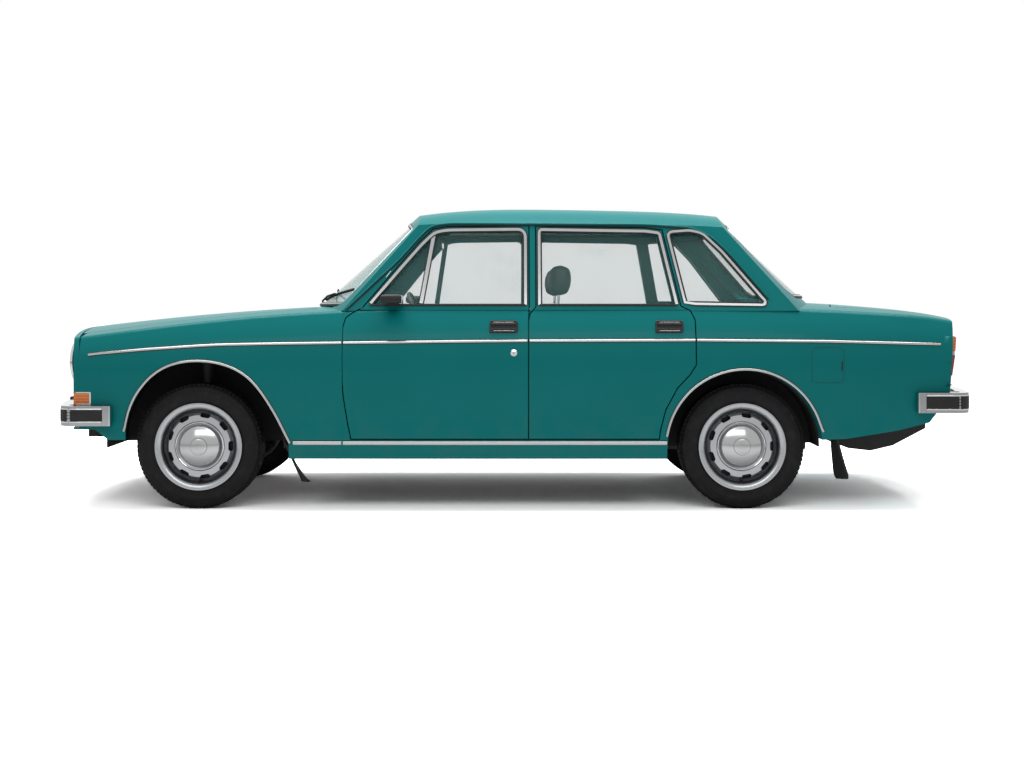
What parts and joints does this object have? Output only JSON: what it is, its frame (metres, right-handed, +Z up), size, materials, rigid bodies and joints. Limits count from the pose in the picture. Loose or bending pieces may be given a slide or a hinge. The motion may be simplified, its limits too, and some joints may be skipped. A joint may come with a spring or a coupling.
{
  "type": "four-door sedan",
  "caption": "Four-door sedan with hollow cabin, hinged doors, bonnet and boot lid, steered front wheels and rolling wheels.",
  "frame": {"origin": "on the floor under the middle of the overall length and width", "axes": "+X to the rear of the car, +Y to its right side, +Z up"},
  "size_m": [4.67, 1.842, 1.5148],
  "materials": {
    "paint": "gloss",
    "underbody": "matte",
    "chrome": "polished",
    "glass": "clear",
    "amber": "gloss",
    "red_lens": "gloss",
    "cloth": "matte",
    "trim": "matte",
    "iron": "matte",
    "steel": "satin",
    "rubber": "matte",
    "tyre": "matte"
  },
  "bodies": {
    "shell": {"body_side_left": "paint", "body_side_right": "paint", "cowl": "paint", "crossmember": "underbody", "dashboard": "trim", "driveline": "underbody", "engine": "iron", "exhaust": "steel", "floor_pan": "underbody", "front_bumper": "chrome", "front_panel": "paint", "front_seats": "cloth", "fuel_tank": "steel", "grille": "chrome", "headlamps": "glass", "indicators": "amber", "mudflaps": "rubber", "rear_axle": "underbody", "rear_bench": "cloth", "rear_bumper": "chrome", "rear_deck": "trim", "rear_panel": "paint", "roof": "paint", "screens": "glass", "steering_wheel": "trim", "tail_lamps": "red_lens", "wing_left": "paint", "wing_right": "paint"},
    "door_front_left": {"door_front_left": "paint", "glass_front_left": "glass", "mirror_left": "trim"},
    "door_rear_left": {"door_rear_left": "paint", "glass_rear_left": "glass"},
    "knuckle_left": {"knuckle_left": "iron"},
    "wheel_front_left": {"wheel_front_left": "steel", "tyre_front_left": "tyre"},
    "wheel_rear_left": {"wheel_rear_left": "steel", "tyre_rear_left": "tyre"},
    "door_front_right": {"door_front_right": "paint", "glass_front_right": "glass", "mirror_right": "trim"},
    "door_rear_right": {"door_rear_right": "paint", "glass_rear_right": "glass"},
    "knuckle_right": {"knuckle_right": "iron"},
    "wheel_front_right": {"wheel_front_right": "steel", "tyre_front_right": "tyre"},
    "wheel_rear_right": {"wheel_rear_right": "steel", "tyre_rear_right": "tyre"},
    "bonnet": {"bonnet": "paint"},
    "boot_lid": {"boot_lid": "paint"}
  },
  "joints": [
    {"name": "door_front_left_swing", "type": "hinge", "parent": "shell", "child": "door_front_left", "pos_m": [-0.8275, -0.869, 0.65], "axis": [0, 0, 1], "range_deg": [-68, 0]},
    {"name": "door_rear_left_swing", "type": "hinge", "parent": "shell", "child": "door_rear_left", "pos_m": [0.0855, -0.869, 0.65], "axis": [0, 0, 1], "range_deg": [-68, 0]},
    {"name": "steer_left", "type": "hinge", "parent": "shell", "child": "knuckle_left", "pos_m": [-1.555, -0.613, 0.31], "axis": [0, 0, 1], "range_deg": [-34, 34]},
    {"name": "spin_front_left", "type": "hinge", "parent": "knuckle_left", "child": "wheel_front_left", "pos_m": [-1.555, -0.675, 0.31], "axis": [0, 1, 0], "continuous": true},
    {"name": "spin_rear_left", "type": "hinge", "parent": "shell", "child": "wheel_rear_left", "pos_m": [1.145, -0.675, 0.31], "axis": [0, 1, 0], "continuous": true},
    {"name": "door_front_right_swing", "type": "hinge", "parent": "shell", "child": "door_front_right", "pos_m": [-0.8275, 0.869, 0.65], "axis": [0, 0, 1], "range_deg": [0, 68]},
    {"name": "door_rear_right_swing", "type": "hinge", "parent": "shell", "child": "door_rear_right", "pos_m": [0.0855, 0.869, 0.65], "axis": [0, 0, 1], "range_deg": [0, 68]},
    {"name": "steer_right", "type": "hinge", "parent": "shell", "child": "knuckle_right", "pos_m": [-1.555, 0.613, 0.31], "axis": [0, 0, 1], "range_deg": [-34, 34]},
    {"name": "spin_front_right", "type": "hinge", "parent": "knuckle_right", "child": "wheel_front_right", "pos_m": [-1.555, 0.675, 0.31], "axis": [0, 1, 0], "continuous": true},
    {"name": "spin_rear_right", "type": "hinge", "parent": "shell", "child": "wheel_rear_right", "pos_m": [1.145, 0.675, 0.31], "axis": [0, 1, 0], "continuous": true},
    {"name": "bonnet_lift", "type": "hinge", "parent": "shell", "child": "bonnet", "pos_m": [-0.983, 0, 0.997], "axis": [0, 1, 0], "range_deg": [0, 55]},
    {"name": "boot_lift", "type": "hinge", "parent": "shell", "child": "boot_lid", "pos_m": [1.613, 0, 1.014], "axis": [0, -1, 0], "range_deg": [0, 65]}
  ],
  "couplings": [
    {"joint": "steer_right", "follows": "steer_left", "ratio": 1}
  ]
}
